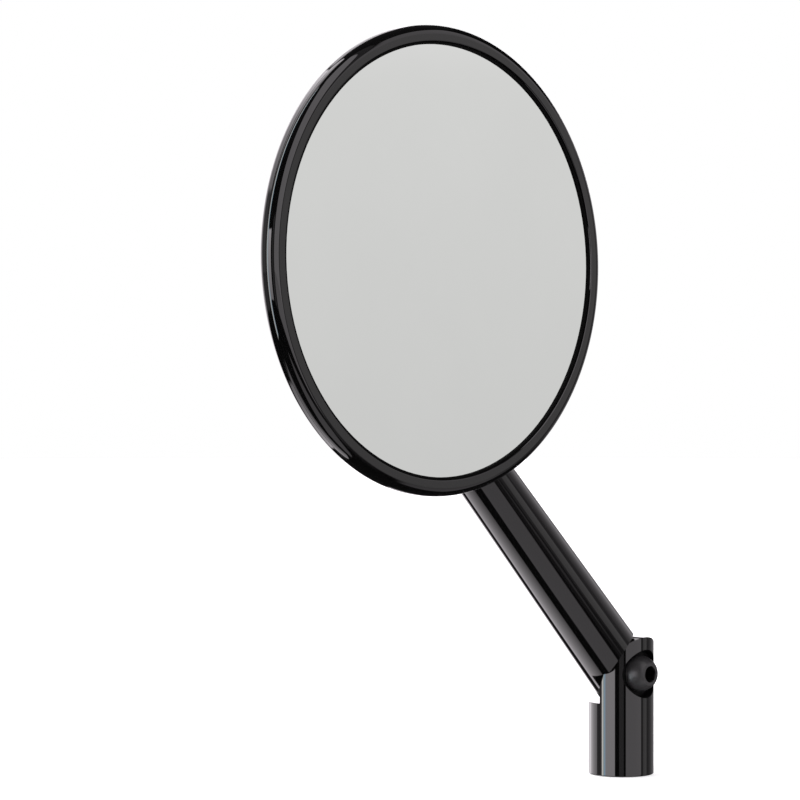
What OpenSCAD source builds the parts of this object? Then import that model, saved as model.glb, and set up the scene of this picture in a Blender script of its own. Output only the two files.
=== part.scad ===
// Round mirror on a folding arm: a screw-on post, a half-lap friction hinge, a tapered arm
// and a ball joint behind the mirror head.
// The post stands on +Z with its threaded foot at the origin, and the mirror faces -Y.

/* [Post] */
// Diameter of the post and of the hinge barrel
post_d = 20; // [18:0.5:24]
// Height of the hinge pin above the foot
pivot_z = 31.1; // [29:0.5:40]
// Drop from the hinge pin to the post's rear shoulder
shoulder_drop = 9; // [8.8:0.1:9.6]
// Radius of the post tongue's rounded end
post_tongue_r = 11.2; // [10.6:0.1:11.6]
// Core diameter of the mounting thread, tapped M10
thread_core_d = 8.5; // [8.4:0.1:8.8]
// Depth of the mounting thread
thread_depth = 14; // [10:1:16]

/* [Hinge] */
// Nominal diameter of the pivot screw
screw_d = 6; // [5:1:6]
// Diameter of the pivot screw's domed head
screw_head_d = 10.9; // [10.4:0.1:11]
// Distance from the hinge's middle plane to the top of the screw head
screw_top = 11.7; // [11:0.1:12]
// Key size of the screw's hexagon socket
key_size = 4.4; // [3:0.1:5]
// Diameter of the counterbore around the screw head
counterbore_d = 14.7; // [13:0.1:15]
// Distance from the hinge's middle plane to the counterbore's floor
counterbore_floor = 6.4; // [6:0.1:6.6]
// Key size of the nut at the back of the hinge
nut_key = 10; // [9:0.5:10]

/* [Arm] */
// Length of the arm from the hinge pin to the ball stud
arm_length = 170.7; // [150:1:200]
// Lean of the arm to the left of upright
arm_lean = 45; // [0:1:58]
// Diameter of the arm at the hinge
arm_root_d = 19.8; // [19:0.1:20]
// Diameter of the arm at the ball stud
arm_tip_d = 14; // [13:0.5:16]
// Height of the arm's front shoulder above the hinge pin
arm_shoulder = 9.3; // [8:0.1:10]
// Radius of the hollow that clears the post's tongue
arm_hollow_r = 12.2; // [12:0.1:12.6]
// Radius of the arm tongue's rounded end
arm_tongue_r = 8.6; // [8.3:0.1:8.7]

/* [Mirror head] */
// Outer diameter of the mirror head
head_d = 125.4; // [118:0.1:150]
// Visible diameter of the mirror
sight_d = 115.1; // [108:0.1:140]
// Distance from the arm's axis to the front of the mirror head
head_offset = 42.6; // [40:0.1:46]
// Thickness of the mirror glass
glass_t = 2; // [1.8:0.1:2]
// Depth of the domed back shell
shell_depth = 12.5; // [12:0.1:13]

/* [Ball joint] */
// Diameter of the ball
ball_d = 15; // [14:0.5:15]
// Depth of the ball's centre behind the front of the mirror head
ball_depth = 17; // [16.8:0.1:17.4]
// Half angle of the socket's opening around the ball's neck
opening_angle = 52; // [48:1:54]

/* [Hidden] */
$fn = 96;

post_r = post_d / 2;
lap_gap = 0.05;            // each lap's face from the hinge's middle plane
disc_r = 7.5;              // friction disc, half sunk in each lap
disc_t = 0.8;
bush_r = 4;                // plain bush that lines the post's pin hole
slip = 0.02;               // radial clearance of fixed pieces in their holes
run = 0.06;                // radial clearance of pieces that turn
washer_t = 0.8;
washer_r = 4.9;
washer_seat_r = 5;         // narrower recess under the screw's head, for the washers
split_w = 0.7;             // gap of the split spring washer
split_angle = 25;
key_depth = 3.5;
key_lead = 0.3;            // lead-in cone of the screw's socket
head_base = counterbore_floor + 0.05;  // just clear of the counterbore's floor
washer_floor = head_base - 2 * washer_t;
nut_t = 5;
nut_floor = 4.4;           // hinge plane to the floor of the nut's pocket
post_top = pivot_z + post_tongue_r;
foot_chamfer = 0.4;

tip_flat = 6.2;            // arm axis to the spot face under the ball stud's nut
stud_tail = 3.8;           // how far the stud's thread passes the arm's axis
tip_dome = 7;              // length of the arm's rounded end

head_r = head_d / 2;
sight_r = sight_d / 2;
lip_t = 0.45;              // thickness of the bezel's lip, and the rounding of its inner edge
seal_show = 0.6;           // width of the seal that shows inside the lip
seal_t = 0.5;
glass_front = lip_t + seal_t;
glass_back = glass_front + glass_t;
silver_t = 0.1;
pad_t = 0.8;
plate_t = 1;
pad_front = glass_back + silver_t;
plate_front = pad_front + pad_t;
plate_back = plate_front + plate_t;
glass_r = head_r - 3.9;
pocket_r = glass_r + 0.1;  // inside of the bezel's skirt, round the glass
silver_inset = 0.2;        // from the edge of the glass, like the next two
plate_inset = 0.4;
pad_inset = 2;
skirt_r = head_r - 2;      // outside of the bezel's skirt, inside the shell's rim
seam = 2.52;               // joint between bezel and back shell, behind the front
seam_gap = 0.1;
edge_round = 2.5;          // rounding of the bezel's front edge
back_round = 2;            // rounding of the shell's rear edge
rim_back = 3.7;            // where the shell's rear rounding starts
dome_r = head_r - back_round;  // where the shell's dome starts, from the rim inwards
dome_lead = 0.9;           // from there to the first point after the rounding
ledge_r = head_r - 11;     // inside of the shell's ledge behind the plate
shell_wall = 1.8;
hub_r = 20;                // flat hub in the middle of the back shell
hub_t = 3.3;

ball_r = ball_d / 2;
seat_t = 1.05;
cavity_r = ball_r + 2 * run + seat_t;
neck_r = 2.7;              // neck between the ball and its stud
collar_r = 4.6;
collar_t = 3.8;
collar_from = tip_flat + 5;    // arm axis to the stud's collar
collar_flats = 8;
jam_nut_t = 3.2;
spigot_r = 9.5;            // socket's spigot, through the back shell
socket_floor = 1.4;
flange_r = 17;
flange_t = 2.2;
flange_chamfer = 0.5;
cup_r = 10.6;              // socket's threaded cup
cup_past = 0.2;            // how far the cup passes the ball's centre
ring_r = 13;
ring_front = 1.9;          // ball centre forward to the socket ring's front face
ring_back = 6;             // and back to its rear face
ring_chamfer = [1.6, 2.5];
mouth_chamfer = [0.8, 0.6];
ring_slots = 6;
ring_slot = [0.9, 2.4];    // depth and width of a spanner slot
screw_pcd = 28;
lens_screw_r = 1.5;
lens_head_r = 2.6;
lens_head_t = 1.6;
lens_seat = 1.2;           // depth of the screw heads' counterbores
lens_key = 2;
screw_play = 0.2;

// Places a child that is drawn in the arm's frame: +Z along the arm, origin on the hinge pin
module on_arm() translate([0, 0, pivot_z]) rotate([0, -arm_lean, 0]) children();
// Places a child that is drawn in the head's frame: +Z backwards, origin at the front's centre
module on_head()
    translate([-arm_length * sin(arm_lean), -head_offset, pivot_z + arm_length * cos(arm_lean)])
        rotate([-90, 0, 0]) children();
// The ball's centre in the head's frame
module at_ball() on_head() translate([0, 0, ball_depth]) children();
// A cylinder along Y between two distances in front of the hinge's middle plane
module across(r, front, back)
    translate([0, back, 0]) rotate([90, 0, 0]) cylinder(r = r, h = front + back);
// A ring along Y in front of the hinge's middle plane, from one distance to another
module ring_across(r_out, r_in, from, to)
    translate([0, -from, 0]) rotate([90, 0, 0]) tube(r_out, r_in, to - from);
module tube(r_out, r_in, h) difference() {
    cylinder(r = r_out, h = h);
    translate([0, 0, -1]) cylinder(r = r_in, h = h + 2);
}
module hex(key, h) cylinder(r = key / 2 / cos(30), h = h, $fn = 6);
// Points of an arc about (cx, cy), as [radius, depth] pairs for a turned profile
function arc(cx, cy, r, a0, a1, n) =
    [for (i = [0:n]) let (a = a0 + (a1 - a0) * i / n) [cx + r * cos(a), cy + r * sin(a)]];

// Depth of the back shell's domed surface at a radius
function dome(r) = shell_depth - (shell_depth - rim_back - back_round)
    * pow((r - hub_r) / (dome_r - hub_r), 2);
// Radius of one of the ten steps from an outer radius in to the hub
function dome_step(r_out, i) = r_out - (r_out - hub_r) * i / 10;

// Post with the front lap of the hinge and the mounting thread in its foot
module post() color("#141414") difference() {
    union() {
        cylinder(r1 = post_r - foot_chamfer, r2 = post_r, h = foot_chamfer);
        translate([0, 0, foot_chamfer]) cylinder(r = post_r, h = post_top - foot_chamfer);
    }
    // the rear half ends at the shoulder
    translate([-post_d, -lap_gap, pivot_z - shoulder_drop]) cube([2 * post_d, post_d, post_d * 2]);
    // the tongue ends round about the hinge pin
    difference() {
        translate([-post_d, -post_d, pivot_z]) cube([2 * post_d, 2 * post_d, post_d]);
        translate([0, 0, pivot_z]) across(post_tongue_r, post_d, post_d);
    }
    translate([0, 0, pivot_z]) {
        across(bush_r, post_d, 1);
        across(disc_r + slip, disc_t / 2, 1);
        across(counterbore_d / 2, post_d, -counterbore_floor);
        across(washer_seat_r, post_d, -washer_floor);
    }
    translate([0, 0, -1]) cylinder(r = thread_core_d / 2, h = thread_depth + 1);
}

// Plain bush pressed into the post's tongue, which the pivot screw turns in
module pivot_bush() color("#c8a45a") translate([0, 0, pivot_z])
    ring_across(bush_r - slip, screw_d / 2 + run, disc_t / 2, washer_floor);

// Friction disc between the two laps
module friction_disc() color("#b9b4a4") translate([0, 0, pivot_z])
    ring_across(disc_r, screw_d / 2 + 0.3, -disc_t / 2, disc_t / 2);

// Tapered arm, with the rear lap of the hinge at its foot and a spot face at its tip
module arm() color("#141414") on_arm() difference() {
    rotate_extrude() polygon(concat(
        [[0, -arm_tongue_r], [arm_root_d / 2, -arm_tongue_r], [arm_root_d / 2, 0]],
        [for (a = [0:9:90]) [arm_tip_d / 2 * cos(a), arm_length + tip_dome * sin(a)]]));
    // the front half ends at its shoulder, and is hollowed about the hinge pin
    translate([-post_d, -post_d, -post_d]) cube([2 * post_d, post_d + lap_gap, post_d + arm_shoulder]);
    across(arm_hollow_r, post_d, lap_gap);
    // the rear lap ends round about the hinge pin
    difference() {
        translate([-post_d, -post_d, -post_d]) cube([2 * post_d, 2 * post_d, post_d]);
        across(arm_tongue_r, post_d, post_d);
    }
    across(screw_d / 2 + slip, 1, post_d);
    across(disc_r + slip, 1, disc_t / 2);
    translate([0, nut_floor, 0]) rotate([-90, 0, 0]) hex(nut_key + 0.2, post_d);
    translate([0, 0, arm_length]) {
        across(screw_d / 2 + slip, post_d, stud_tail + 1);
        translate([0, -tip_flat, 0]) rotate([90, 0, 0]) cylinder(r = arm_tip_d / 2 - 0.4, h = post_d);
    }
}

// Button-head screw with a hexagon socket, the hinge's pin
module pivot_screw() color("#1c1c1c") on_arm() rotate([90, 0, 0]) {
    cap_r = screw_head_d / 2;
    face_r = 0.325 * screw_head_d;
    skirt = 0.4;
    rise = screw_top - head_base - skirt;
    bulge = (pow(cap_r, 2) - pow(face_r, 2) - pow(rise, 2)) / (2 * rise);
    button_r = sqrt(pow(cap_r, 2) + pow(bulge, 2));
    difference() {
        union() {
            translate([0, 0, head_base]) rotate_extrude() polygon(concat(
                [[0, 0], [cap_r, 0]],
                arc(0, skirt - bulge, button_r, asin(bulge / button_r), acos(face_r / button_r), 8),
                [[0, skirt + rise]]));
            translate([0, 0, -nut_floor - nut_t])
                cylinder(r = screw_d / 2, h = nut_floor + nut_t + head_base);
        }
        translate([0, 0, screw_top - key_depth]) rotate(30) hex(key_size, key_depth + 1);
        translate([0, 0, screw_top - key_lead])
            cylinder(r1 = key_size / 2, r2 = key_size / 2 + key_lead + 0.01, h = key_lead + 0.01);
    }
}

// Split spring washer under the screw's head
module spring_washer() color("#8a8a8a") on_arm() difference() {
    ring_across(washer_r - 0.1, screw_d / 2 + 0.15, head_base - washer_t, head_base);
    translate([0, -head_base - 1, 0]) rotate([0, split_angle, 0])
        cube([washer_r + 1, washer_t + 2, split_w]);
}

// Plain washer that rubs on the floor of its recess
module thrust_washer() color("#2a2a2a") on_arm()
    ring_across(washer_r, screw_d / 2 + 0.1, washer_floor, washer_floor + washer_t);

// Locking nut sunk in the back of the arm's lap
module pivot_nut() color("#6f6f6f") on_arm() difference() {
    intersection() {
        translate([0, nut_floor, 0]) rotate([-90, 0, 0]) hex(nut_key, nut_t);
        translate([0, nut_floor, 0]) rotate([-90, 0, 0])
            cylinder(r1 = nut_key * 0.9, r2 = nut_key * 0.52, h = nut_t);
    }
    across(screw_d / 2 + slip, 1, post_d);
}

// Ball on a threaded stud that screws into the arm's tip
module ball_stud() color("#9a9a9a") on_arm() translate([0, 0, arm_length]) {
    ball_y = head_offset - ball_depth;
    translate([0, -ball_y, 0]) sphere(r = ball_r);
    across(neck_r, ball_y, -collar_from);
    difference() {
        across(collar_r, collar_from + collar_t, -collar_from);
        for (side = [-1, 1])
            translate([side * (collar_flats / 2 + collar_r), -collar_from - collar_t / 2, 0])
                cube([2 * collar_r, 2 * collar_t, 3 * collar_r], center = true);
    }
    across(screw_d / 2, collar_from, stud_tail);
}

// Thin nut that locks the ball stud against the arm
module stud_nut() color("#2a2a2a") on_arm() translate([0, 0, arm_length]) difference() {
    translate([0, -tip_flat, 0]) rotate([90, 0, 0]) hex(nut_key, jam_nut_t);
    across(screw_d / 2 + slip, post_d, 1);
}

// A band of a thick spherical shell, between two angles from the rear axis of the ball
module seat_band(from, to) {
    out_r = ball_r + run + seat_t;
    difference() {
        sphere(r = out_r);
        sphere(r = ball_r + run);
        translate([-out_r, -out_r, out_r * cos(from)]) cube(2 * out_r);
        translate([-out_r, -out_r, out_r * (cos(to) - 2)]) cube(2 * out_r);
    }
}

// Plastic seat ring behind the ball's middle
module rear_seat() color("#d8d4c8") at_ball() seat_band(66, 84);

// Plastic seat ring in front of the ball's middle
module front_seat() color("#d8d4c8") at_ball() seat_band(108, 138);

// Socket body: a spigot through the shell, a flange with its screw holes, and a threaded cup
module ball_socket() color("#141414") difference() {
    spigot_from = ball_depth - cavity_r - socket_floor;
    flange_top = shell_depth + flange_t;
    on_head() rotate_extrude() polygon([
        [0, spigot_from], [spigot_r, spigot_from], [spigot_r, shell_depth], [flange_r, shell_depth],
        [flange_r, flange_top - flange_chamfer], [flange_r - flange_chamfer, flange_top],
        [cup_r, flange_top], [cup_r, ball_depth + cup_past], [0, ball_depth + cup_past]]);
    at_ball() sphere(r = cavity_r);
    on_head() socket_screw_places() {
        translate([0, 0, shell_depth - 1]) cylinder(r = lens_screw_r + screw_play, h = flange_t + 2);
        translate([0, 0, flange_top - lens_seat]) cylinder(r = lens_head_r + screw_play, h = flange_t);
    }
}

// Threaded ring that closes the socket behind the ball
module socket_ring() color("#141414") at_ball() difference() {
    mouth_r = cavity_r * sin(opening_angle);
    rotate_extrude() polygon([
        [cup_r + slip, -ring_front], [ring_r, -ring_front], [ring_r, ring_back - ring_chamfer[1]],
        [ring_r - ring_chamfer[0], ring_back], [mouth_r + mouth_chamfer[0], ring_back],
        [mouth_r, ring_back - mouth_chamfer[1]], [mouth_r, cup_past + 0.1],
        [cup_r + slip, cup_past + 0.1]]);
    sphere(r = cavity_r);
    for (i = [1:ring_slots]) rotate([0, 0, 360 / ring_slots * (i - 0.5)])
        translate([ring_r - ring_slot[0], -ring_slot[1] / 2, -ring_back])
            cube([ring_slot[0] + 1, ring_slot[1], 3 * ring_back]);
}

module socket_screw_places()
    for (i = [0:2]) rotate([0, 0, 120 * i + 90]) translate([screw_pcd / 2, 0, 0]) children();

// Screws that hold the socket to the back shell
module socket_screws() color("#1c1c1c") on_head() socket_screw_places() {
    head_z = shell_depth + flange_t - lens_seat;
    difference() {
        union() {
            translate([0, 0, head_z]) cylinder(r = lens_head_r, h = lens_head_t);
            translate([0, 0, shell_depth - hub_t + 0.6]) cylinder(r = lens_screw_r, h = hub_t + 1);
        }
        translate([0, 0, head_z + lens_head_t / 2]) hex(lens_key, lens_head_t);
    }
}

// Domed back shell with a flat hub for the socket
module back_shell() color("#141414") on_head() difference() {
    rotate_extrude() polygon(concat(
        [[skirt_r + slip, seam + seam_gap], [head_r, seam + seam_gap]],
        arc(dome_r, rim_back, back_round, 0, 75, 6),
        [for (i = [1:10]) let (r = dome_step(dome_r - dome_lead, i)) [r, dome(r)]],
        [[spigot_r + slip, shell_depth], [spigot_r + slip, shell_depth - hub_t],
         [hub_r, shell_depth - hub_t]],
        [for (i = [9:-1:3]) let (r = dome_step(dome_r - 3, i)) [r, dome(r) - shell_wall]],
        [[ledge_r, plate_back], [skirt_r + slip, plate_back]]));
    socket_screw_places() translate([0, 0, shell_depth - hub_t + 0.5])
        cylinder(r = lens_screw_r + slip, h = hub_t + 1);
}

// Stiff plate that backs the glass
module backing_plate() color("#5a5a5a") on_head() translate([0, 0, plate_front])
    cylinder(r = glass_r - plate_inset, h = plate_t);

// Foam pad that bonds the glass to its plate
module foam_pad() color("#303030") on_head() translate([0, 0, pad_front])
    cylinder(r = glass_r - pad_inset, h = pad_t);

// Silvering on the back of the glass
module silver_layer() color("#d9dcde") on_head() translate([0, 0, glass_back])
    cylinder(r = glass_r - silver_inset, h = silver_t);

// Mirror glass
module mirror_glass() color("#cfd3d4") on_head() translate([0, 0, glass_front])
    cylinder(r = glass_r, h = glass_t);

// Rubber seal between the bezel's lip and the glass
module glass_seal() color("#0c0c0c") on_head() translate([0, 0, lip_t])
    tube(glass_r, sight_r, seal_t);

// Bezel ring that holds the glass in the shell
module bezel_ring() color("#141414") on_head() rotate_extrude() polygon(concat(
    arc(sight_r + seal_show + lip_t, lip_t, lip_t, 180, 270, 4),
    arc(head_r - edge_round, edge_round, edge_round, 270, 360, 8),
    [[head_r, seam], [skirt_r, seam], [skirt_r, plate_back], [pocket_r, plate_back], [pocket_r, lip_t]]));

post();
pivot_bush();
friction_disc();
arm();
pivot_screw();
spring_washer();
thrust_washer();
pivot_nut();
ball_stud();
stud_nut();
rear_seat();
front_seat();
ball_socket();
socket_ring();
socket_screws();
back_shell();
backing_plate();
foam_pad();
silver_layer();
mirror_glass();
glass_seal();
bezel_ring();
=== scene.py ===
"""Round mirror on a folding arm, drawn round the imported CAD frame."""

import math

import bmesh
import bpy
from mathutils import Matrix, Vector


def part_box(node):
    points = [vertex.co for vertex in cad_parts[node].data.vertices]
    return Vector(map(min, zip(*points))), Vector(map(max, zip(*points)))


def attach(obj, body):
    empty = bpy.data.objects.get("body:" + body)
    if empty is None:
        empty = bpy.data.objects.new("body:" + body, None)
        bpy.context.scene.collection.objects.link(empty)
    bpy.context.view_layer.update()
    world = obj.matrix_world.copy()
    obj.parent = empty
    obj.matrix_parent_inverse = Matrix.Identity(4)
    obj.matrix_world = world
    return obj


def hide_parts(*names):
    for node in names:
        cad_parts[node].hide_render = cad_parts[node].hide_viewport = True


MM = 0.001
# a point nearer than this to an axis is on it
ON_AXIS = 1e-6
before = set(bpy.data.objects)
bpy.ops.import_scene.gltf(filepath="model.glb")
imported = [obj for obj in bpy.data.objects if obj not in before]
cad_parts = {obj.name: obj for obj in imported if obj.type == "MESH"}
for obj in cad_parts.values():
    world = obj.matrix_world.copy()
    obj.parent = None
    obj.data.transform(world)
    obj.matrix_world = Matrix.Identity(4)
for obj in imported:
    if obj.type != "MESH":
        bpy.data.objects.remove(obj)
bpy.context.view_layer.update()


# ---------------------------------------------------------------- where things are

def span(node):
    """Lowest and highest corner of a CAD node, in millimetres."""
    low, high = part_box(node)
    return [v / MM for v in low], [v / MM for v in high]


def middle(node, axis):
    """Middle of a CAD node along an axis, in millimetres."""
    low, high = span(node)
    return (low[axis] + high[axis]) / 2


post_low, post_high = span("post")
bezel_low, bezel_high = span("bezel_ring")
pin_z = middle("friction_disc", 2)
head_x, head_z = middle("bezel_ring", 0), middle("bezel_ring", 2)
head_front = bezel_low[1]
head_radius = (bezel_high[0] - bezel_low[0]) / 2
post_radius = (post_high[0] - post_low[0]) / 2
arm_lean = math.atan2(-head_x, head_z - pin_z)
arm_length = math.hypot(head_x, head_z - pin_z)
tongue_radius = post_high[2] - pin_z

UP_POST = Matrix.Identity(4)
ON_PIN = Matrix.Translation((0, 0, pin_z))
ON_ARM = ON_PIN @ Matrix.Rotation(-arm_lean, 4, "Y")
AT_TIP = ON_ARM @ Matrix.Translation((0, 0, arm_length))
# the head's frame: +Z backwards from the centre of the front face
ON_HEAD = Matrix.Translation((head_x, head_front, head_z)) @ Matrix.Rotation(-math.pi / 2, 4, "X")
# from the head's front face back to the centre of the ball
BALL_DEPTH = 17.0
AT_BALL = ON_HEAD @ Matrix.Translation((0, 0, BALL_DEPTH))
# turns a shape drawn along +Z so that it points to the front, -Y
FORWARD = Matrix.Rotation(math.pi / 2, 4, "X")
BACKWARD = Matrix.Rotation(-math.pi / 2, 4, "X")


# ---------------------------------------------------------------- shapes

def arc(cx, cy, rx, start, end, steps, ry=None):
    """Points of a circular or elliptical arc, for a turned profile."""
    ry = rx if ry is None else ry
    out = []
    for i in range(steps + 1):
        a = math.radians(start + (end - start) * i / steps)
        out.append((cx + rx * math.cos(a), cy + ry * math.sin(a)))
    return out


def lathe(profile, segments=192, closed=False):
    """bmesh of a profile of (radius, height) pairs turned about Z, radius 0 allowed at its ends."""
    bm = bmesh.new()
    rings = []
    for r, h in profile:
        if r < ON_AXIS:
            rings.append([bm.verts.new((0, 0, h))])
        else:
            rings.append([
                bm.verts.new((r * math.cos(t), r * math.sin(t), h))
                for t in (2 * math.pi * k / segments for k in range(segments))
            ])
    pairs = list(zip(rings, rings[1:] + rings[:1])) if closed else list(zip(rings, rings[1:]))
    for a, b in pairs:
        for k in range(segments):
            n = (k + 1) % segments
            if len(a) == 1 and len(b) == 1:
                continue
            if len(a) == 1:
                bm.faces.new((a[0], b[n], b[k]))
            elif len(b) == 1:
                bm.faces.new((a[k], a[n], b[0]))
            else:
                bm.faces.new((a[k], a[n], b[n], b[k]))
    bmesh.ops.recalc_face_normals(bm, faces=bm.faces)
    return bm


def rod(radius, low, high, segments=128):
    """bmesh of a plain round rod about Z."""
    return lathe([(0, low), (radius, low), (radius, high), (0, high)], segments)


def prism(outline, low, high):
    """bmesh of a flat outline of (x, y) pairs, between two heights."""
    bm = bmesh.new()
    bottom = [bm.verts.new((x, y, low)) for x, y in outline]
    top = [bm.verts.new((x, y, high)) for x, y in outline]
    bm.faces.new(bottom[::-1])
    bm.faces.new(top)
    for i in range(len(outline)):
        j = (i + 1) % len(outline)
        bm.faces.new((bottom[i], bottom[j], top[j], top[i]))
    bmesh.ops.recalc_face_normals(bm, faces=bm.faces)
    return bm


def block(low, high):
    """bmesh of a box between two corners."""
    (x0, y0, z0), (x1, y1, z1) = low, high
    return prism([(x0, y0), (x1, y0), (x1, y1), (x0, y1)], z0, z1)


def hexagon(key):
    """Outline of a hexagon by its width across the flats."""
    r = key / 2 / math.cos(math.pi / 6)
    return [(r * math.cos(k * math.pi / 3), r * math.sin(k * math.pi / 3)) for k in range(6)]


def threaded(radius, pitch, low, high, depth, segments=48):
    """bmesh of a rod with a screw thread: the radius falls by depth between the crests.

    The dip is cut off at depth, so the roots have a narrow flat."""
    rings_per_turn, overcut = 8, 1.15
    bm = bmesh.new()
    steps = max(2, round((high - low) / pitch * rings_per_turn))
    rings = []
    for i in range(steps + 1):
        h = low + (high - low) * i / steps
        ring = []
        for k in range(segments):
            phase = (h / pitch - k / segments) % 1.0
            dip = depth * (1 - abs(2 * phase - 1) * overcut)
            r = radius - min(max(dip, 0), depth)
            t = 2 * math.pi * k / segments
            ring.append(bm.verts.new((r * math.cos(t), r * math.sin(t), h)))
        rings.append(ring)
    for a, b in zip(rings, rings[1:]):
        for k in range(segments):
            n = (k + 1) % segments
            bm.faces.new((a[k], a[n], b[n], b[k]))
    bm.faces.new(rings[0][::-1])
    bm.faces.new(rings[-1])
    bmesh.ops.recalc_face_normals(bm, faces=bm.faces)
    return bm


def moved(bm, matrix):
    """The same bmesh, moved by a matrix."""
    bmesh.ops.transform(bm, matrix=matrix, verts=bm.verts)
    return bm


def joined(*parts):
    """One bmesh that holds several."""
    out = bmesh.new()
    for part in parts:
        mesh = bpy.data.meshes.new("part")
        part.to_mesh(mesh)
        part.free()
        out.from_mesh(mesh)
        bpy.data.meshes.remove(mesh)
    return out


def as_object(name, bm):
    """A scene object that takes over a bmesh."""
    mesh = bpy.data.meshes.new(name)
    bm.to_mesh(mesh)
    bm.free()
    made = bpy.data.objects.new(name, mesh)
    bpy.context.scene.collection.objects.link(made)
    return made


def settle(obj):
    """Replaces an object's mesh by its mesh with the modifiers applied."""
    evaluated = obj.evaluated_get(bpy.context.evaluated_depsgraph_get())
    mesh = bpy.data.meshes.new_from_object(evaluated)
    obj.modifiers.clear()
    old, obj.data = obj.data, mesh
    bpy.data.meshes.remove(old)
    mesh.name = obj.name


def cut(obj, *tools):
    """Takes tool shapes away from an object, one after another, and welds the slivers that are left."""
    sliver = 0.002
    for bm in tools:
        tool = as_object("cutter", bm)
        boolean = obj.modifiers.new("cut", "BOOLEAN")
        boolean.operation, boolean.solver, boolean.object = "DIFFERENCE", "EXACT", tool
        settle(obj)
        mesh = tool.data
        bpy.data.objects.remove(tool)
        bpy.data.meshes.remove(mesh)
    bm = bmesh.new()
    bm.from_mesh(obj.data)
    bmesh.ops.remove_doubles(bm, verts=bm.verts, dist=sliver)
    bmesh.ops.dissolve_degenerate(bm, edges=bm.edges, dist=sliver)
    bm.to_mesh(obj.data)
    bm.free()
    return obj


def soften(obj, width, segments=2, angle=32):
    """Rounds the sharp edges by a small bevel, and shades the flats flat and the curves smooth."""
    obj.data.shade_smooth()
    bevel = obj.modifiers.new("edges", "BEVEL")
    bevel.width, bevel.segments = width, segments
    bevel.limit_method, bevel.angle_limit = "ANGLE", math.radians(angle)
    bevel.use_clamp_overlap = True
    even = obj.modifiers.new("flats", "WEIGHTED_NORMAL")
    even.mode, even.weight = "FACE_AREA", 80
    settle(obj)
    return obj


def turned(name, profile, segments=192, closed=False, crease=30):
    """A lathed object whose normals follow the profile exactly, with creases at its sharp corners."""
    bm = lathe(profile, segments, closed)
    bm.verts.index_update()
    obj = as_object(name, bm)
    mesh = obj.data
    mesh.shade_smooth()
    count = len(profile)
    place_of = {}
    for i, (r, _) in enumerate(profile):
        for _ in range(1 if r < ON_AXIS else segments):
            place_of[len(place_of)] = i
    links = [(i, (i + 1) % count) for i in range(count if closed else count - 1)]
    sides = {}
    for a, b in links:
        dr, dh = profile[b][0] - profile[a][0], profile[b][1] - profile[a][1]
        length = math.hypot(dr, dh)
        sides[a, b] = (Vector((dh, -dr)).normalized(), length * length)
    at_corner = {}
    for (a, b), (normal, weight) in sides.items():
        for corner in (a, b):
            total = normal * weight
            for (c, d), (other, other_weight) in sides.items():
                if (c, d) != (a, b) and corner in (c, d) and normal.angle(other) < math.radians(crease):
                    total = total + other * other_weight
            at_corner[a, b, corner] = total.normalized()
    normals = []
    for poly in mesh.polygons:
        rows = {place_of[v] for v in poly.vertices}
        key = next(k for k in links if set(k) == rows)
        for v in poly.vertices:
            p = mesh.vertices[v].co
            out = (p.xy if p.xy.length > ON_AXIS else poly.center.xy).normalized()
            nr, nh = at_corner[key[0], key[1], place_of[v]]
            n = Vector((out.x * nr, out.y * nr, nh))
            normals.append(n if n.dot(poly.normal) > 0 else -n)
    mesh.normals_split_custom_set(normals)
    return obj


def upright(radius, slope=0.0):
    """A cylinder or cone about Z, by its radius at height 0 and the change of radius with height."""
    return lambda p: (math.hypot(p.x, p.y) - radius - slope * p.z,
                      Vector((p.x, p.y, -slope * math.hypot(p.x, p.y))))


def sideways(radius, height=0.0):
    """A cylinder along Y at a height."""
    return lambda p: (math.hypot(p.x, p.z - height) - radius, Vector((p.x, 0, p.z - height)))


def ball(radius, height):
    """A sphere about a point of Z."""
    return lambda p: (math.hypot(p.x, p.y, p.z - height) - radius, Vector((p.x, p.y, p.z - height)))


def round_normals(obj, *surfaces):
    """Gives the faces that lie on a round surface its exact normals, whatever cuts across them."""
    near, along = 0.02, 0.9
    mesh = obj.data
    corner = [Vector(n.vector) for n in mesh.corner_normals]
    for poly in mesh.polygons:
        points = [mesh.vertices[v].co for v in poly.vertices]
        for surface in surfaces:
            if any(abs(surface(p)[0]) > near for p in points):
                continue
            facing = poly.normal.dot(surface(poly.center)[1].normalized())
            if abs(facing) > along:
                for loop, p in zip(poly.loop_indices, points):
                    corner[loop] = surface(p)[1].normalized() * math.copysign(1, facing)
    mesh.normals_split_custom_set(corner)
    return obj


def place(obj, matrix, body, *nodes, material=None, slot=None):
    """Scales a finished piece to metres, puts it in place, ties it to its body and hides the CAD nodes it
    stands for.

    Its normals are turned and set again, because the tiny edges of metres would blur them."""
    turn = matrix.to_3x3()
    normals = [turn @ n.vector for n in obj.data.corner_normals]
    obj.data.transform(Matrix.Scale(MM, 4) @ matrix)
    obj.data.normals_split_custom_set(normals)
    obj.data.update()
    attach(obj, body)
    if nodes:
        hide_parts(*nodes)
    if material:
        obj.data.materials.clear()
        obj.data.materials.append(material)
    return obj


# ---------------------------------------------------------------- materials

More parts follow.
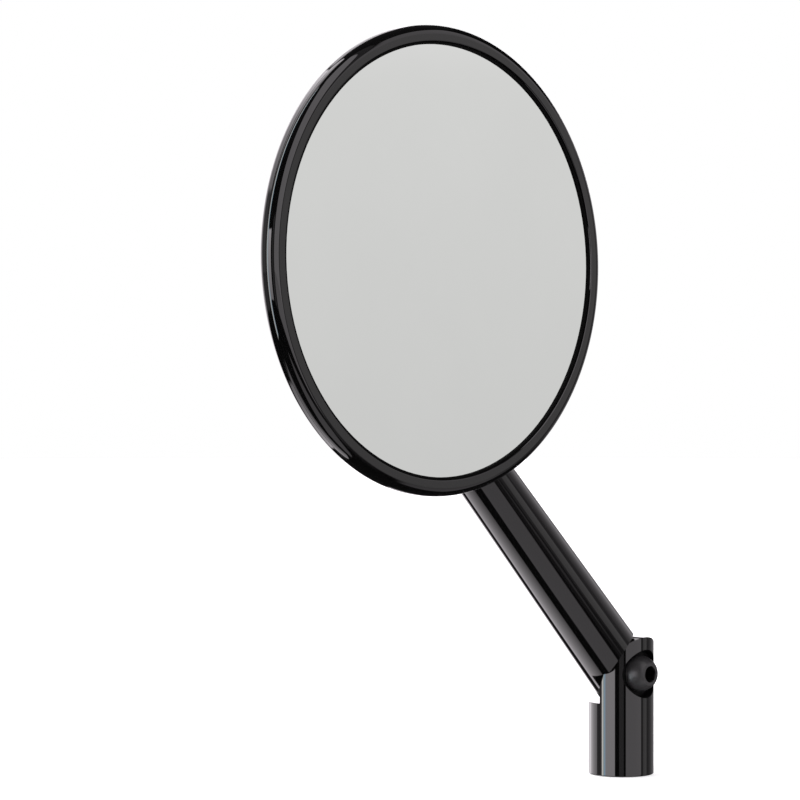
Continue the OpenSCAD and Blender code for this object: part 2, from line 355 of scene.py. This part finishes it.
class Nodes:
    """Short way to write a material's or world's node tree."""

    def __init__(self, tree):
        self.tree = tree
        tree.nodes.clear()

    def add(self, kind, **settings):
        """A node; settings that start with in_ are its inputs, with _ for each space."""
        node = self.tree.nodes.new(kind)
        for key, value in settings.items():
            if key.startswith("in_"):
                node.inputs[key[3:].replace("_", " ")].default_value = value
            else:
                setattr(node, key, value)
        return node

    def link(self, output, socket):
        self.tree.links.new(output, socket)

    def math(self, operation, a, b=None):
        node = self.add("ShaderNodeMath", operation=operation)
        for socket, value in zip(node.inputs, (a, b)):
            if isinstance(value, (int, float)):
                socket.default_value = value
            elif value is not None:
                self.link(value, socket)
        return node.outputs[0]

    def noise(self, where, scale, detail, roughness):
        node = self.add("ShaderNodeTexNoise", in_Scale=scale, in_Detail=detail, in_Roughness=roughness)
        self.link(where, node.inputs["Vector"])
        return node.outputs["Fac"]

    def ramp(self, value, low, high, to_low, to_high):
        node = self.add("ShaderNodeMapRange", in_From_Min=low, in_From_Max=high,
                        in_To_Min=to_low, in_To_Max=to_high)
        self.link(value, node.inputs["Value"])
        return node.outputs["Result"]

    def blend(self, value, dark, light):
        """A colour between two, by a 0 to 1 value."""
        node = self.add("ShaderNodeValToRGB")
        node.color_ramp.elements[0].color = (*dark, 1)
        node.color_ramp.elements[1].color = (*light, 1)
        self.link(value, node.inputs["Fac"])
        return node.outputs["Color"]


def material(name, dark, light, rough, spread, grain, metallic=0.0, bump=0.0, **shader):
    """A material whose colour, roughness and bump all vary with fine noise in the object's own space.

    grain is in features per metre, and the bump is six times finer."""
    mat = bpy.data.materials.new(name)
    mat.use_nodes = True
    n = Nodes(mat.node_tree)
    where = n.add("ShaderNodeTexCoord").outputs["Object"]
    coarse = n.noise(where, grain, 4.0, 0.6)
    bsdf = n.add("ShaderNodeBsdfPrincipled", in_Metallic=metallic)
    for key, value in shader.items():
        bsdf.inputs[key.replace("_", " ")].default_value = value
    n.link(n.blend(n.ramp(coarse, 0.3, 0.7, 0.0, 1.0), dark, light), bsdf.inputs["Base Color"])
    n.link(n.ramp(coarse, 0.3, 0.7, max(rough - spread, 0.0), rough + spread), bsdf.inputs["Roughness"])
    if bump:
        fine = n.noise(where, grain * 6, 2.0, 0.5)
        lift = n.add("ShaderNodeBump", in_Strength=bump, in_Distance=0.0002)
        n.link(fine, lift.inputs["Height"])
        n.link(lift.outputs["Normal"], bsdf.inputs["Normal"])
    out = n.add("ShaderNodeOutputMaterial")
    n.link(bsdf.outputs["BSDF"], out.inputs["Surface"])
    return mat


BLACK_LACQUER = material("black_lacquer", (0.0009, 0.0009, 0.0009), (0.0014, 0.0013, 0.0014),
                         0.022, 0.012, 60, IOR=1.5)
BLACK_OXIDE = material("black_oxide", (0.018, 0.018, 0.018), (0.027, 0.026, 0.027),
                       0.4, 0.03, 700, bump=0.03, IOR=1.42)
# painted shade: a matt black that hardly reflects, put inside the counterbore and the key socket where shade
# falls
HOLE_SHADE_BLACK = material("painted_hole_shade", (0.001, 0.001, 0.001), (0.003, 0.003, 0.003), 0.5, 0.05, 900,
                      Specular_IOR_Level=0.12)
MIRROR = material("mirror", (0.733, 0.761, 0.738), (0.747, 0.775, 0.752), 0.004, 0.003, 25, metallic=1.0)
ZINC = material("zinc_plate", (0.42, 0.43, 0.44), (0.58, 0.58, 0.57), 0.26, 0.08, 500,
                metallic=1.0, bump=0.12)
CHROME = material("polished_steel", (0.52, 0.53, 0.54), (0.58, 0.58, 0.59), 0.07, 0.03, 160, metallic=1.0)
BRONZE = material("bronze", (0.42, 0.22, 0.08), (0.62, 0.38, 0.17), 0.3, 0.1, 400, metallic=1.0, bump=0.15)
LINING = material("friction_lining", (0.30, 0.27, 0.20), (0.48, 0.44, 0.35), 0.72, 0.1, 1500, bump=0.6)
NYLON = material("nylon", (0.62, 0.60, 0.54), (0.72, 0.70, 0.64), 0.42, 0.06, 700, bump=0.2,
                 Subsurface_Weight=0.15, Subsurface_Scale=0.001)
# black rubber, partly painted shade: darker than rubber and nearly without reflection, so the seal stands in
# for the shade in the gap round the glass
RUBBER_AND_GAP_SHADE = material("rubber_and_painted_shade", (0.0008, 0.0008, 0.0008), (0.002, 0.002, 0.002), 0.6, 0.1, 1800, bump=0.3,
                  Specular_IOR_Level=0.04)
FOAM = material("foam", (0.05, 0.05, 0.05), (0.13, 0.13, 0.13), 0.85, 0.08, 2200, bump=0.9)
PLATE = material("plate", (0.24, 0.24, 0.25), (0.36, 0.36, 0.36), 0.5, 0.1, 300, bump=0.2)


# ---------------------------------------------------------------- post and hinge

# how far cutters reach out of a piece sideways and along the pin,
# and past a face that they only have to break
OUT, FAR_OUT, PAST = 20, 30, 1
# half the gap between the two laps
LAP = 0.05


def cap_cutter(radius):
    """What lies outside a rounded end: everything above the pin and beyond a radius from it."""
    steps, far = 96, 2 * OUT
    turns = [math.pi * k / steps for k in range(steps + 1)]
    ring = [(radius * math.cos(t), radius * math.sin(t)) for t in turns]
    return moved(prism([(far, 0), *ring, (-far, 0), (-far, far), (far, far)], -FAR_OUT, FAR_OUT), FORWARD)


def across(radius, front, back, segments=128):
    """A rod along Y between two distances in front of the hinge's middle plane."""
    return moved(rod(radius, -back, front, segments), FORWARD)


def paint_hole_shade(obj, radius):
    """Paints shade into the hole in the front of a placed piece, within a radius of the pin's axis: a matt
    black that hardly reflects stands in for the shade there.
    """
    mesh = obj.data
    mesh.materials.append(HOLE_SHADE_BLACK)
    for poly in mesh.polygons:
        corners = [mesh.vertices[v].co / MM for v in poly.vertices]
        if all(math.hypot(p.x, p.z - pin_z) < radius and p.y < 0 for p in corners):
            poly.material_index = 1


SHOULDER = pin_z - 9.0
POST_BLANK = pin_z + 15
BUSH_SEAT_R, DISC_SEAT_R, DISC_SEAT = 4.0, 7.52, 0.4
COUNTERBORE_R, COUNTERBORE_FLOOR = 7.35, 6.4
WASHER_SEAT_R, WASHER_FLOOR = 5.0, 4.85
FOOT_EDGE = 0.4
MOUNT_R, MOUNT_PITCH, MOUNT_DEPTH, MOUNT_RIDGE = 5.0, 1.5, 14, 0.75

post = as_object("post_body", lathe(
    [(0, 0), (post_radius - FOOT_EDGE, 0), *arc(post_radius - FOOT_EDGE, FOOT_EDGE, FOOT_EDGE, -75, 0, 5),
     (post_radius, POST_BLANK), (0, POST_BLANK)], 256))
cut(post,
    block((-OUT, -LAP, SHOULDER), (OUT, OUT, 3 * OUT)),
    moved(cap_cutter(tongue_radius), ON_PIN),
    moved(across(BUSH_SEAT_R, OUT, PAST), ON_PIN),
    moved(across(DISC_SEAT_R, DISC_SEAT, PAST), ON_PIN),
    moved(across(COUNTERBORE_R, OUT, -COUNTERBORE_FLOOR, 160), ON_PIN),
    moved(across(WASHER_SEAT_R, OUT, -WASHER_FLOOR), ON_PIN),
    threaded(MOUNT_R, MOUNT_PITCH, -2 * MOUNT_PITCH, MOUNT_DEPTH, MOUNT_RIDGE))
soften(post, 0.22)
round_normals(post, upright(post_radius), sideways(tongue_radius, pin_z), sideways(COUNTERBORE_R, pin_z))
place(post, UP_POST, "post", "post", material=BLACK_LACQUER, slot="black_lacquer")
# painted shade on the counterbore's walls and floor
paint_hole_shade(post, COUNTERBORE_R + 0.03)

# the arm's own frame has the pin at its origin and the ball stud's axis at arm_length up Z
ARM_ROOT, ARM_TIP, ARM_SHOULDER, ARM_HOLLOW, ARM_TONGUE = 9.9, 7.0, 9.3, 12.2, 8.6
ARM_BLANK, TIP_DOME, TIP_FLAT, TIP_FLAT_EDGE, STUD_HOLE_END = -15, 7.0, 6.2, 0.4, 5
NUT_FLOOR, NUT_KEY, NUT_SLIP = 4.4, 10.0, 0.2
PIN_HOLE_R, STUD_HOLE_R = 3.02, 3.02
ARM_TAPER = (ARM_TIP - ARM_ROOT) / arm_length
arm = as_object("arm_tube", lathe(
    [(0, ARM_BLANK), (ARM_ROOT, ARM_BLANK), (ARM_ROOT, 0),
     *arc(0, arm_length, ARM_TIP, 0, 84, 16, TIP_DOME), (0, arm_length + TIP_DOME)], 256))
up_arm = Matrix.Translation((0, 0, arm_length))
cut(arm,
    block((-OUT, -FAR_OUT, -OUT), (OUT, LAP, ARM_SHOULDER)),
    across(ARM_HOLLOW, FAR_OUT, -LAP, 256),
    moved(cap_cutter(ARM_TONGUE), Matrix.Rotation(math.pi, 4, "Y")),
    across(PIN_HOLE_R, PAST, FAR_OUT),
    across(DISC_SEAT_R, PAST, DISC_SEAT),
    moved(prism(hexagon(NUT_KEY + NUT_SLIP), NUT_FLOOR, FAR_OUT), BACKWARD),
    moved(across(STUD_HOLE_R, OUT, STUD_HOLE_END), up_arm),
    moved(across(ARM_TIP - TIP_FLAT_EDGE, OUT, -TIP_FLAT), up_arm))
soften(arm, 0.2)
round_normals(arm, upright(ARM_ROOT, ARM_TAPER), upright(ARM_ROOT), ball(ARM_TIP, arm_length),
              sideways(ARM_HOLLOW), sideways(ARM_TONGUE))
place(arm, ON_ARM, "arm", "arm", material=BLACK_LACQUER, slot="black_lacquer")

# the screw's heights are in front of the hinge's middle plane
SCREW_TOP, HEAD_BASE, HEAD_R, FACE_R, FACE_EDGE = 11.7, 6.45, 5.45, 3.54, 0.12
SHANK_R, SHANK_TAIL, SHANK_POINT, HEAD_SKIRT, HEAD_EDGE = 3.0, 9.4, 0.4, 0.4, 0.15
KEY, KEY_DEPTH, KEY_LEAD, KEY_TURN = 4.4, 3.5, 0.3, 30
dome_base = HEAD_BASE + HEAD_SKIRT
bulge = (HEAD_R**2 - FACE_R**2 - (SCREW_TOP - dome_base)**2) / (2 * (SCREW_TOP - dome_base))
dome_r = math.hypot(HEAD_R, bulge)
screw = as_object("hinge_screw", lathe(
    [(0, -SHANK_TAIL), (SHANK_R - SHANK_POINT, -SHANK_TAIL), (SHANK_R, SHANK_POINT - SHANK_TAIL),
     (SHANK_R, HEAD_BASE), (HEAD_R - HEAD_EDGE, HEAD_BASE), (HEAD_R, HEAD_BASE + HEAD_EDGE),
     *arc(0, dome_base - bulge, dome_r, math.degrees(math.asin(bulge / dome_r)),
          math.degrees(math.acos(FACE_R / dome_r)), 20),
     (FACE_R - FACE_EDGE, SCREW_TOP), (0, SCREW_TOP)], 128))
cut(screw,
    moved(prism(hexagon(KEY), SCREW_TOP - KEY_DEPTH, SCREW_TOP + PAST),
          Matrix.Rotation(math.radians(KEY_TURN), 4, "Z")),
    lathe([(0, SCREW_TOP - KEY_LEAD), (KEY / 2, SCREW_TOP - KEY_LEAD), (KEY / 2 + KEY_LEAD, SCREW_TOP),
           (KEY / 2 + KEY_LEAD, SCREW_TOP + PAST), (0, SCREW_TOP + PAST)], 96))
soften(screw, 0.06)
round_normals(screw, ball(dome_r, dome_base - bulge), upright(HEAD_R), upright(SHANK_R))
place(screw, ON_ARM @ FORWARD, "arm", "pivot_screw", material=BLACK_OXIDE, slot="black_screw")
# painted shade inside the key socket
paint_hole_shade(screw, KEY / 2 + 0.5)


def nut(name, key, height, bore, chamfer):
    """A hexagon nut with chamfered corners and a bore, standing on its face at height 0."""
    made = as_object(name, prism(hexagon(key), 0, height))
    r, lead = key / 2, 0.5
    far = r / math.cos(math.pi / 6) + 1
    ring = lathe([(r, height + 0.01), (far, height - chamfer), (far + 2, height + 3), (r, height + 3)],
                 96, closed=True)
    foot = lathe([(r, -0.01), (r, -3), (far + 2, -3), (far, chamfer)], 96, closed=True)
    cut(made, ring, foot, rod(bore, -PAST, height + PAST, 64),
        lathe([(0, height - lead), (bore, height - lead), (bore + 0.6, height + 0.1), (0, height + 0.1)], 64))
    soften(made, 0.08)
    return made


LOCK_NUT_T, JAM_NUT_T = 5.0, 3.2
lock_nut_at = ON_ARM @ Matrix.Translation((0, NUT_FLOOR, 0)) @ BACKWARD
jam_nut_at = AT_TIP @ Matrix.Translation((0, -TIP_FLAT, 0)) @ FORWARD
place(nut("lock_nut", NUT_KEY, LOCK_NUT_T, PIN_HOLE_R, 0.8), lock_nut_at,
      "arm", "pivot_nut", material=ZINC, slot="plain_steel")
place(nut("jam_nut", NUT_KEY, JAM_NUT_T, STUD_HOLE_R, 0.6), jam_nut_at,
      "arm", "stud_nut", material=ZINC, slot="plain_steel")


# ---------------------------------------------------------------- ball joint

BALL_R, CAVITY_R, SHELL_DEPTH = 7.5, 8.67, 12.5
# the stud's heights are in front of the arm's middle plane
STUD_TAIL, COLLAR_FROM, COLLAR_TO, COLLAR_R, NECK_R = 3.8, 11.2, 15.0, 4.6, 2.7
COLLAR_FLAT, COLLAR_EDGE, NECK_FILLET = 4, 0.2, 0.6
FLATS_FROM, FLATS_TO, FLATS_WIDE = 8, 19, 8
STUD_THREAD_R, STUD_PITCH, STUD_RIDGE = 3.0, 1.0, 0.55
ball_at = -head_front - BALL_DEPTH
neck_end = math.degrees(math.acos(NECK_R / BALL_R))
stud = as_object("ball_stud_turned", lathe(
    [(0, COLLAR_FROM), (COLLAR_R - COLLAR_EDGE, COLLAR_FROM), (COLLAR_R, COLLAR_FROM + COLLAR_EDGE),
     (COLLAR_R, COLLAR_TO - COLLAR_EDGE), (COLLAR_R - COLLAR_EDGE, COLLAR_TO),
     (NECK_R + NECK_FILLET, COLLAR_TO),
     *arc(NECK_R + NECK_FILLET, COLLAR_TO + NECK_FILLET, NECK_FILLET, 270, 180, 6),
     *arc(0, ball_at, BALL_R, -neck_end, 86, 40), (0, ball_at + BALL_R)], 128))
# two flats on the collar, for a spanner
cut(stud,
    block((COLLAR_FLAT, -FLATS_WIDE, FLATS_FROM), (COLLAR_FLAT + FLATS_WIDE, FLATS_WIDE, FLATS_TO)),
    block((-COLLAR_FLAT - FLATS_WIDE, -FLATS_WIDE, FLATS_FROM), (-COLLAR_FLAT, FLATS_WIDE, FLATS_TO)))
soften(stud, 0.1)
round_normals(stud, ball(BALL_R, ball_at), upright(COLLAR_R), upright(NECK_R))
place(stud, AT_TIP @ FORWARD, "arm", "ball_stud", material=CHROME, slot="polished_steel")
thread = as_object("stud_thread",
                   threaded(STUD_THREAD_R, STUD_PITCH, -STUD_TAIL, COLLAR_FROM, STUD_RIDGE, 64))
soften(thread, 0.03)
place(thread, AT_TIP @ FORWARD, "arm", material=ZINC, slot="polished_steel")

FLANGE_R, FLANGE_T, FLANGE_ROUND, CUP_R, SPIGOT_R, CUP_WALL = 17.0, 2.2, 0.6, 10.6, 9.5, 1.4
CUP_FILLET, CUP_RIM, RIM_ANGLE = 0.5, 0.2, 1.3
SCREW_CIRCLE, SCREW_HOLE_R, SCREW_SEAT_R, SCREW_SEAT, SCREW_KEY = 14.0, 1.7, 2.8, 1.2, 2.0
SCREW_R, SCREW_LENGTH, CAP_R, CAP_ROUND = 1.5, 2.7, 2.6, 1.2
flange_top = SHELL_DEPTH + FLANGE_T
socket_low = BALL_DEPTH - CAVITY_R - CUP_WALL


def at_screws(make):
    """The same shape at each of the three flange screws."""
    out = Matrix.Translation((SCREW_CIRCLE, 0, 0))
    return [moved(make(), Matrix.Rotation(math.radians(120 * i + 90), 4, "Z") @ out) for i in range(3)]


socket = as_object("ball_cup", lathe(
    [(0, socket_low), (SPIGOT_R - 0.3, socket_low), (SPIGOT_R, socket_low + 0.3), (SPIGOT_R, SHELL_DEPTH),
     (FLANGE_R - 0.2, SHELL_DEPTH), (FLANGE_R, SHELL_DEPTH + 0.2),
     *arc(FLANGE_R - FLANGE_ROUND, flange_top - FLANGE_ROUND, FLANGE_ROUND, 0, 90, 6),
     (CUP_R + CUP_FILLET, flange_top),
     *arc(CUP_R + CUP_FILLET, flange_top + CUP_FILLET, CUP_FILLET, 270, 180, 5),
     (CUP_R, BALL_DEPTH + CUP_RIM), *arc(0, BALL_DEPTH, CAVITY_R, RIM_ANGLE, -86, 30),
     (0, BALL_DEPTH - CAVITY_R)], 192))
cut(socket, *at_screws(lambda: rod(SCREW_HOLE_R, SHELL_DEPTH - PAST, SHELL_DEPTH + 4 * PAST, 48)),
    *at_screws(lambda: rod(SCREW_SEAT_R, flange_top - SCREW_SEAT, flange_top + 3 * PAST, 64)))
soften(socket, 0.12)
round_normals(socket, upright(FLANGE_R), upright(CUP_R), upright(SPIGOT_R))
place(socket, ON_HEAD, "head", "ball_socket", material=BLACK_LACQUER, slot="black_lacquer")

# the ring's heights are behind the ball's centre; OPENING is half its mouth, seen from there
RING_R, RING_FRONT, RING_BACK, RING_ROUND, OPENING = 13.0, -1.9, 6.0, 2.4, 52
RING_EDGE, MOUTH_EDGE, RING_SLIP, GRIPS, GRIP_CUT, GRIP_HALF = 0.3, 0.8, 0.02, 6, 0.9, 1.2
opening_r = CAVITY_R * math.sin(math.radians(OPENING))
ring = as_object("socket_cap", lathe(
    [(CUP_R + RING_SLIP, RING_FRONT), (RING_R - RING_EDGE, RING_FRONT), (RING_R, RING_FRONT + RING_EDGE),
     (RING_R, RING_BACK - RING_ROUND - 0.1),
     *arc(RING_R - RING_ROUND, RING_BACK - RING_ROUND, RING_ROUND, 4, 86, 8),
     (opening_r + MOUTH_EDGE, RING_BACK),
     *arc(opening_r + MOUTH_EDGE, RING_BACK - 0.6, MOUTH_EDGE, 100, 170, 4, 0.6),
     *arc(0, 0, CAVITY_R, 90 - OPENING, 2, 16), (CUP_R + RING_SLIP, 0.3)], 192, closed=True))
grip = (RING_R - GRIP_CUT, -GRIP_HALF, -3 * PAST), (RING_R + 3 * PAST, GRIP_HALF, RING_BACK + 3 * PAST)
cut(ring, *[moved(block(*grip), Matrix.Rotation(math.radians(360 / GRIPS * (i + 0.5)), 4, "Z"))
            for i in range(GRIPS)])
soften(ring, 0.18)
round_normals(ring, upright(RING_R))
place(ring, AT_BALL, "head", "socket_ring", material=BLACK_LACQUER, slot="black_lacquer")

screws = as_object("flange_screws", joined(*at_screws(lambda: lathe(
    [(0, SHELL_DEPTH - SCREW_LENGTH), (SCREW_R, SHELL_DEPTH - SCREW_LENGTH),
     (SCREW_R, flange_top - SCREW_SEAT), (CAP_R, flange_top - SCREW_SEAT), (CAP_R, flange_top - 0.3),
     *arc(CAP_R - CAP_ROUND, flange_top - 0.9, CAP_ROUND, 20, 90, 6, 1.3), (0, flange_top + 0.4)], 64))))
cut(screws, *at_screws(lambda: prism(hexagon(SCREW_KEY), flange_top - 0.6, flange_top + 2 * PAST)))
soften(screws, 0.05)
place(screws, ON_HEAD, "head", "socket_screws", material=BLACK_OXIDE, slot="black_screw")


# ---------------------------------------------------------------- mirror head

# depths are behind the head's front face; the seam is the gap between the bezel and the back shell
SEAM, SEAM_GAP, SEAM_EDGE, EDGE_R, LIP_T, PLATE_BACK = 2.52, 0.1, 0.06, 2.5, 0.45, 4.85
FIT, GLASS_SLIP = 0.02, 0.1
SKIRT_R, GLASS_R, LIP_R = head_radius - 2.0, head_radius - 3.9, 58.15
bezel = turned("bezel_turned", [
    *arc(LIP_R + LIP_T, LIP_T, LIP_T, 180, 270, 12),
    *arc(head_radius - EDGE_R, EDGE_R, EDGE_R, 270, 360, 36),
    (head_radius - SEAM_EDGE, SEAM), (SKIRT_R, SEAM), (SKIRT_R, PLATE_BACK),
    (GLASS_R + GLASS_SLIP, PLATE_BACK), (GLASS_R + GLASS_SLIP, LIP_T)], 512, closed=True)
place(bezel, ON_HEAD, "head", "bezel_ring", material=BLACK_LACQUER, slot="black_lacquer")

RIM_BACK, BACK_ROUND, HUB_R, HUB_T, SHELL_WALL = 3.7, 2.0, 20.0, 3.3, 1.8
dome_out = head_radius - BACK_ROUND


def dome(r):
    """Depth of the back shell's surface at a radius."""
    return SHELL_DEPTH - (SHELL_DEPTH - RIM_BACK - BACK_ROUND) * ((r - HUB_R) / (dome_out - HUB_R))**2


def dome_row(start, steps, inset=0.0):
    """Profile of the back shell from a radius in to the hub, or that far under it."""
    rows = [start - (start - HUB_R) * i / steps for i in range(steps + 1)]
    return [(r, dome(r) - inset) for r in rows]


shell_outside = [
    (SKIRT_R + FIT, SEAM + SEAM_GAP), (head_radius - SEAM_EDGE, SEAM + SEAM_GAP),
    (head_radius, SEAM + SEAM_GAP + SEAM_EDGE),
    *arc(dome_out, RIM_BACK, BACK_ROUND, 0, 72, 20),
    *dome_row(dome_out - 0.9, 44),
    (SPIGOT_R + FIT, SHELL_DEPTH), (SPIGOT_R + FIT, SHELL_DEPTH - HUB_T)]
shell_inside = dome_row(dome_out - 10, 30, SHELL_WALL)[::-1]
shell = turned("back_dome", [
    *shell_outside, (HUB_R, SHELL_DEPTH - HUB_T), *shell_inside[1:],
    (head_radius - 11, PLATE_BACK), (SKIRT_R + FIT, PLATE_BACK)], 512, closed=True)
place(shell, ON_HEAD, "head", "back_shell", material=BLACK_LACQUER, slot="black_lacquer")

# the glass seal and thrust washer get the black rubber that carries painted gap shade
for node, finish in (
        ("mirror_glass", MIRROR), ("silver_layer", PLATE), ("glass_seal", RUBBER_AND_GAP_SHADE), ("foam_pad", FOAM),
        ("backing_plate", PLATE), ("pivot_bush", BRONZE), ("friction_disc", LINING),
        ("thrust_washer", RUBBER_AND_GAP_SHADE), ("spring_washer", ZINC), ("rear_seat", NYLON), ("front_seat", NYLON)):
    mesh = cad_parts[node].data
    mesh.materials.clear()
    mesh.materials.append(finish)


# ---------------------------------------------------------------- studio

CAMERA_AT = (-0.66035, -0.56582, 0.11729)
CAMERA_AZIMUTH, CAMERA_PITCH = 44.935, -0.187
SENSOR, LENS = 36.0, 127.17

ahead = Vector((math.sin(math.radians(CAMERA_AZIMUTH)) * math.cos(math.radians(CAMERA_PITCH)),
                math.cos(math.radians(CAMERA_AZIMUTH)) * math.cos(math.radians(CAMERA_PITCH)),
                math.sin(math.radians(CAMERA_PITCH))))
camera = bpy.data.objects.new("camera", bpy.data.cameras.new("camera"))
camera.data.lens, camera.data.sensor_width = LENS, SENSOR
camera.data.clip_start, camera.data.clip_end = 0.05, 50
camera.location = CAMERA_AT
camera.rotation_mode = "QUATERNION"
camera.rotation_quaternion = ahead.to_track_quat("-Z", "Y")
bpy.context.scene.collection.objects.link(camera)
bpy.context.scene.camera = camera
bpy.context.scene.view_settings.view_transform = "Standard"


class Studio(Nodes):
    """White room with softboxes and black flags, by azimuth round the object and elevation.

    Azimuth is 0 towards the camera and grows to the camera's right; both angles are in degrees."""

    def __init__(self, world, base, white):
        super().__init__(world.node_tree)
        self.white = white
        xyz = self.add("ShaderNodeSeparateXYZ")
        self.link(self.add("ShaderNodeTexCoord").outputs["Generated"], xyz.inputs[0])
        x, y, z = xyz.outputs
        half = math.sqrt(0.5)
        near = self.math("MULTIPLY", self.math("ADD", x, y), -half)
        right = self.math("MULTIPLY", self.math("SUBTRACT", x, y), half)
        self.azimuth = self.math("DEGREES", self.math("ARCTAN2", right, near))
        self.elevation = self.math("DEGREES", self.math("ARCSINE", z))
        self.colour = self.add("ShaderNodeRGB")
        self.colour.outputs[0].default_value = (base, base, base, 1)
        self.colour = self.colour.outputs[0]

    def step(self, value, at, soft, rising=True):
        node = self.add("ShaderNodeMapRange", interpolation_type="SMOOTHSTEP",
                        in_From_Min=at - soft, in_From_Max=at + soft)
        for socket, end in zip(("To Min", "To Max"), (0, 1) if rising else (1, 0)):
            node.inputs[socket].default_value = end
        self.link(value, node.inputs["Value"])
        return node.outputs["Result"]

    def mix(self, factor, a, b):
        node = self.add("ShaderNodeMix", data_type="RGBA")
        for socket, value in zip((node.inputs[0], node.inputs[6], node.inputs[7]), (factor, a, b)):
            if isinstance(value, (int, float)):
                socket.default_value = (*(value * c for c in self.white), 1)
            elif isinstance(value, tuple):
                socket.default_value = (*value, 1)
            else:
                self.link(value, socket)
        return node.outputs[2]

    def panel(self, azimuths, elevations, start, end=None, along="azimuth", soft=1.0, soft_up=None):
        """A panel between two azimuths and two elevations, of one brightness or fading from start to end."""
        value = start
        if end is not None:
            low, high = azimuths if along == "azimuth" else elevations
            source = self.azimuth if along == "azimuth" else self.elevation
            value = self.mix(self.ramp(source, low, high, 0.0, 1.0), start, end)
        inside = None
        for source, (low, high), blur in ((self.azimuth, azimuths, soft),
                                          (self.elevation, elevations, soft if soft_up is None else soft_up)):
            for edge, rising in ((low, True), (high, False)):
                if -180 < edge < 180 and not (source is self.elevation and abs(edge) >= 90):
                    part = self.step(source, edge, blur, rising)
                    inside = part if inside is None else self.math("MULTIPLY", inside, part)
        self.colour = self.mix(inside, self.colour, value)

    def finish(self):
        seen = self.add("ShaderNodeBackground", in_Color=(1, 1, 1, 1))
        lit = self.add("ShaderNodeBackground")
        self.link(self.colour, lit.inputs["Color"])
        choose = self.add("ShaderNodeMixShader")
        self.link(self.add("ShaderNodeLightPath").outputs["Is Camera Ray"], choose.inputs[0])
        self.link(lit.outputs[0], choose.inputs[1])
        self.link(seen.outputs[0], choose.inputs[2])
        self.link(choose.outputs[0], self.add("ShaderNodeOutputWorld").inputs["Surface"])


world = bpy.data.worlds.new("studio")
world.use_nodes = True
bpy.context.scene.world = world
studio = Studio(world, 0.02, white=(1.015, 0.965, 1.005))
studio.panel((-180, 180), (42, 90), 0.05)
# behind the object
studio.panel((104, 150), (-16, -1), 0.20, 0.48, soft=3)
studio.panel((104, 150), (-1, 17), 0.23, 0.88, soft=3)
studio.panel((150, 168), (-16, 14), 0.38, soft=2)
studio.panel((168, 180), (-20, 4), 0.7, soft=2)
studio.panel((167, 180), (4.5, 14), 2.4, soft=1)
studio.panel((-180, -152), (-22, 40), 1.5, 1.9)
studio.panel((-180, -164), (4.5, 14), 2.4, soft=1)
# left rear softbox and its reflection off the floor
studio.panel((-152, -98), (-16, 75), 3.9, 1.9)
studio.panel((-149, -82), (-90, -37), 2.6, 0.88)
# left
studio.panel((-98, -81), (-4, 75), 0.52)
studio.panel((-98, -81), (-16, -4), 0.33)
studio.panel((-81, -75.8), (-20, 75), 0.75)
studio.panel((-75.8, -71), (-30, 75), (10.8, 10.5, 10.0))
studio.panel((-71, -67), (-30, 75), (6.0, 6.6, 6.5))
studio.panel((-67, -63), (-30, 75), (4.2, 6.3, 8.0))
studio.panel((-63, -59), (-30, 12.5), (4.5, 4.9, 5.6))
studio.panel((-59, -26), (-16, 12.5), 2.84, 6.2, along="elevation", soft_up=0.6)
# camera side
studio.panel((-11, 5), (-16, 16), 0.37)
studio.panel((12.5, 71), (-16, -3), 1.58)
studio.panel((12.5, 71), (-3, 75), 2.05)
studio.panel((72, 80), (-16, 75), 0.26)
studio.panel((56, 80), (-31, -16), 0.10)
studio.panel((68.5, 72.5), (-24, -18.5), 0.4)
# right
studio.panel((80, 98), (-13, 21), (0.68, 0.66, 0.67), (1.00, 0.97, 0.98), along="elevation")
studio.panel((98, 108), (-12, 8), 0.21)
# ceiling and floor to the right, which the ring's rounded edge shows
studio.panel((82, 107), (8, 37), 1.1, soft=2)
studio.panel((86, 107), (-36, -14), 0.62, soft=2)
# white floor in front, to the right
studio.panel((4, 59), (-73.5, -31.5), 1.0, soft=1.2)
studio.finish()

FLOOR_RADIUS = 4.0
FLOOR_AT = -0.0002
floor_bm = bmesh.new()
bmesh.ops.create_circle(floor_bm, cap_ends=True, segments=96, radius=FLOOR_RADIUS)
bmesh.ops.translate(floor_bm, verts=floor_bm.verts, vec=(0, 0, FLOOR_AT))
floor = as_object("floor", floor_bm)
floor.data.materials.append(material(
    "pale_floor", (0.80, 0.80, 0.80), (0.84, 0.84, 0.84), 0.6, 0.05, 3,
    Emission_Color=(1, 1, 1, 1), Emission_Strength=0.6))
floor.visible_glossy = False
